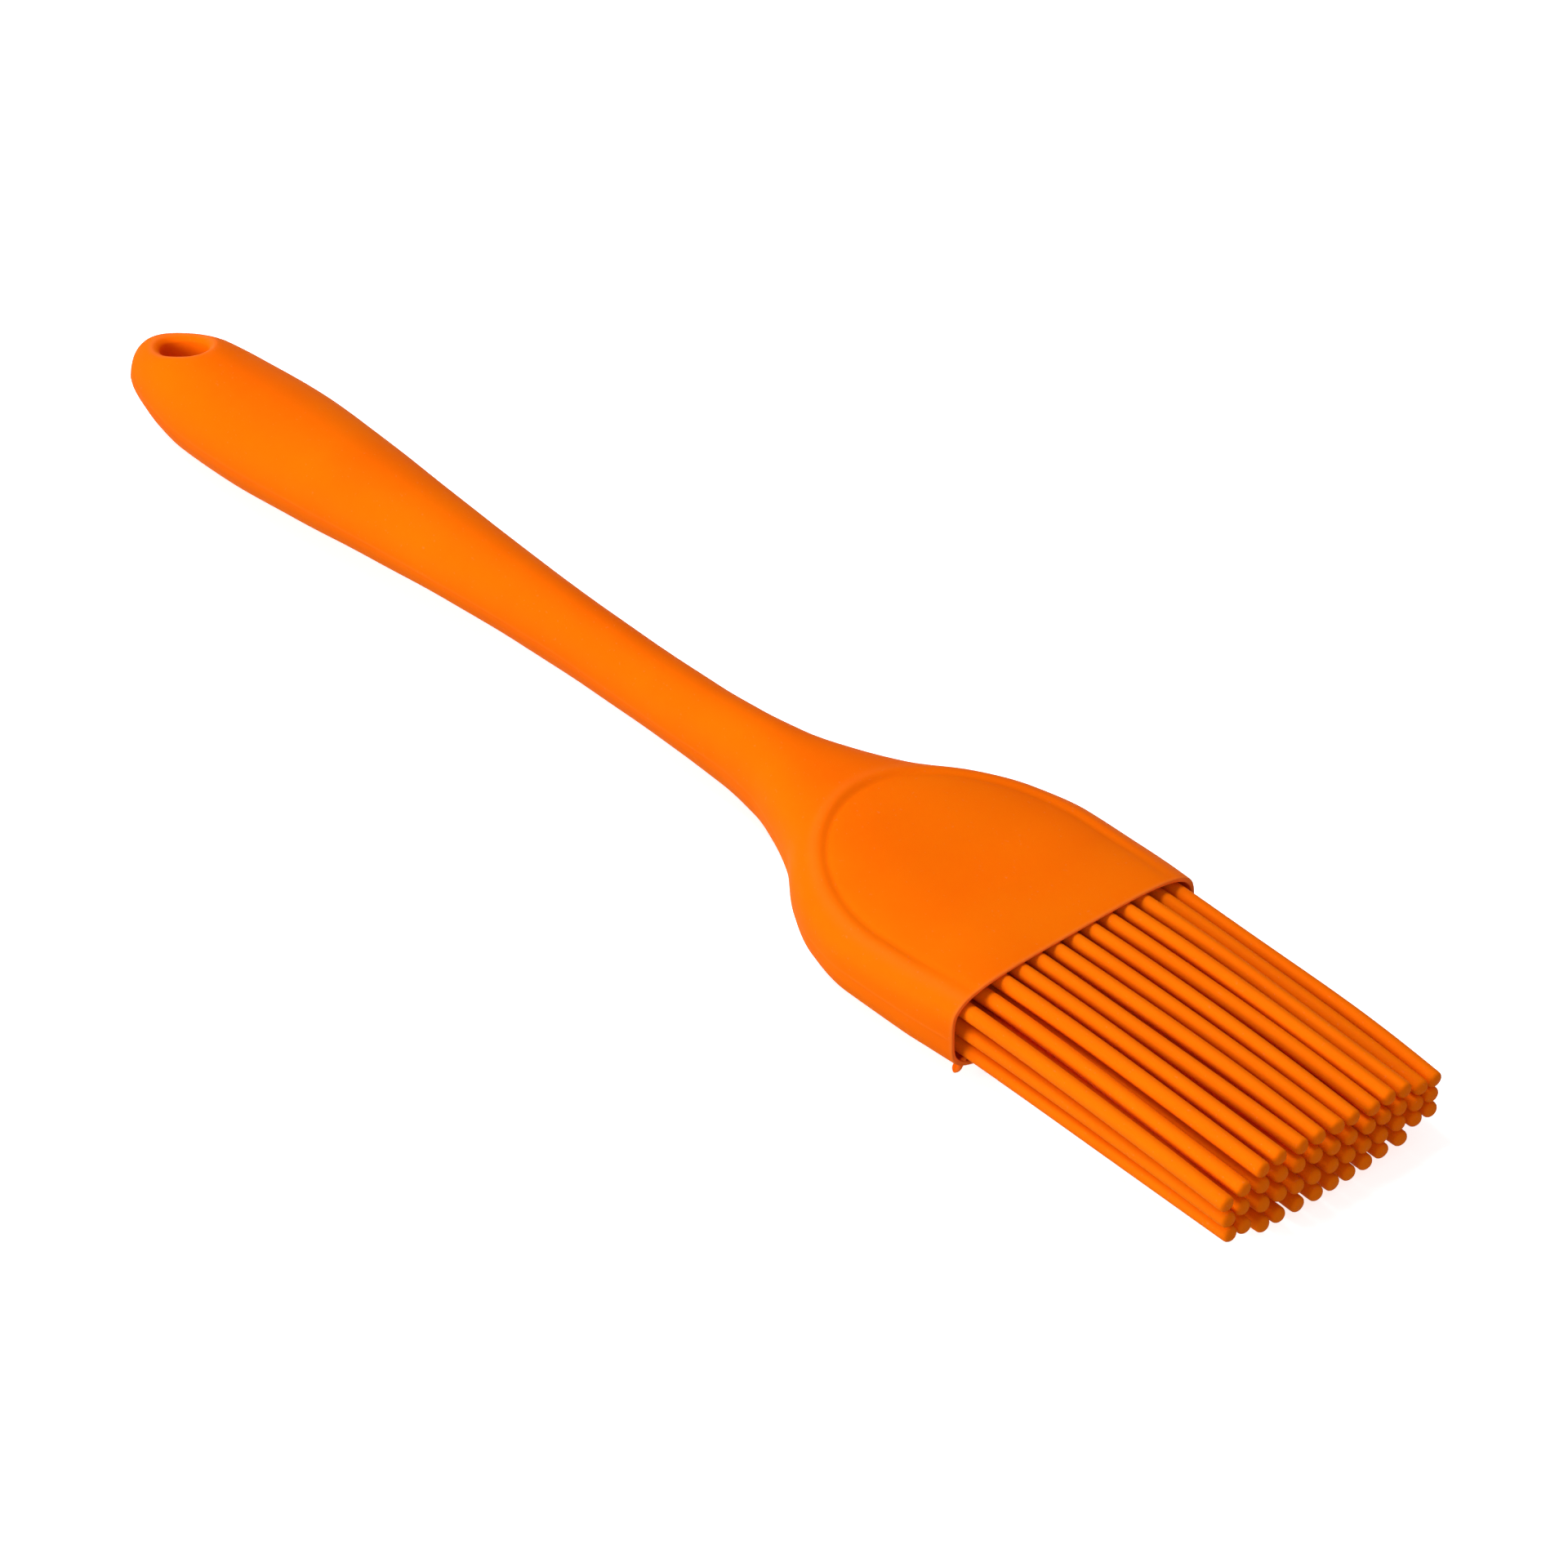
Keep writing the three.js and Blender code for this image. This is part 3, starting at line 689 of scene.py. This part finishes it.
# ------------------------------------------------------------------ stage, light, camera
def floor():
    me = bpy.data.meshes.new("floor")
    s = 3.0
    me.from_pydata([(-s, -s, 0), (s, -s, 0), (s, s, 0), (-s, s, 0)], [], [(0, 1, 2, 3)])
    ob = bpy.data.objects.new("floor", me)
    ob.location.z = -0.0002
    bpy.context.scene.collection.objects.link(ob)
    m, nt, bsdf = material("floor_pale")
    co = nt.nodes.new("ShaderNodeTexCoord").outputs["Object"]
    n = noise(nt, co, 3.0, 3.0, 0.5)
    nt.links.new(ramp(nt, n, [(0.3, (0.90, 0.90, 0.90)), (0.7, (0.92, 0.92, 0.92))]), bsdf.inputs["Base Color"])
    bsdf.inputs["Roughness"].default_value = 0.9
    bsdf.inputs["Specular IOR Level"].default_value = 0.1
    bsdf.inputs["Emission Color"].default_value = (1.0, 1.0, 1.0, 1)
    bsdf.inputs["Emission Strength"].default_value = 0.72
    me.materials.append(m)
    ob.visible_diffuse = False
    return ob


floor()


def area(name, loc, target, size, watts, colour=(1, 1, 1)):
    li = bpy.data.lights.new(name, "AREA")
    li.shape, li.size, li.energy, li.color = "DISK", size, watts, colour
    ob = bpy.data.objects.new(name, li)
    ob.location = loc
    ob.rotation_mode = "QUATERNION"
    ob.rotation_quaternion = (Vector(target) - Vector(loc)).to_track_quat("-Z", "Y")
    bpy.context.scene.collection.objects.link(ob)
    return ob


area("key", (-0.34, -0.14, 0.95), (-0.03, 0, 0), 0.45, 6.3, (1.0, 0.99, 0.97))
area("side", (-0.34, -1.05, 0.24), (-0.02, 0, 0.01), 0.7, 10.5, (1.0, 0.995, 0.98))
area("front", (0.95, -0.42, 0.30), (0.09, 0, 0.005), 0.5, 2.2, (1.0, 0.995, 0.98))

world = bpy.data.worlds.new("studio")
bpy.context.scene.world = world
world.use_nodes = True
bg = world.node_tree.nodes["Background"]
bg.inputs[0].default_value = (1.0, 1.0, 1.0, 1)
bg.inputs[1].default_value = 0.26

cam_data = bpy.data.cameras.new("camera")
cam_data.sensor_width = 36.0
cam_data.lens = 168.75
cam_data.clip_start, cam_data.clip_end = 0.05, 20
cam = bpy.data.objects.new("camera", cam_data)
bpy.context.scene.collection.objects.link(cam)
right = Vector((0.667434, 0.744653, -0.004911))
up = Vector((-0.442215, 0.401647, 0.801951))
back = Vector((0.599148, -0.533078, 0.597369))
rot = Matrix((right, up, back)).transposed().to_4x4()
rot.translation = Vector((520.801, -450.685, 510.302)) * MM
cam.matrix_world = rot
bpy.context.scene.camera = cam
bpy.context.scene.view_settings.view_transform = "Standard"
bpy.context.scene.view_settings.look = "None"
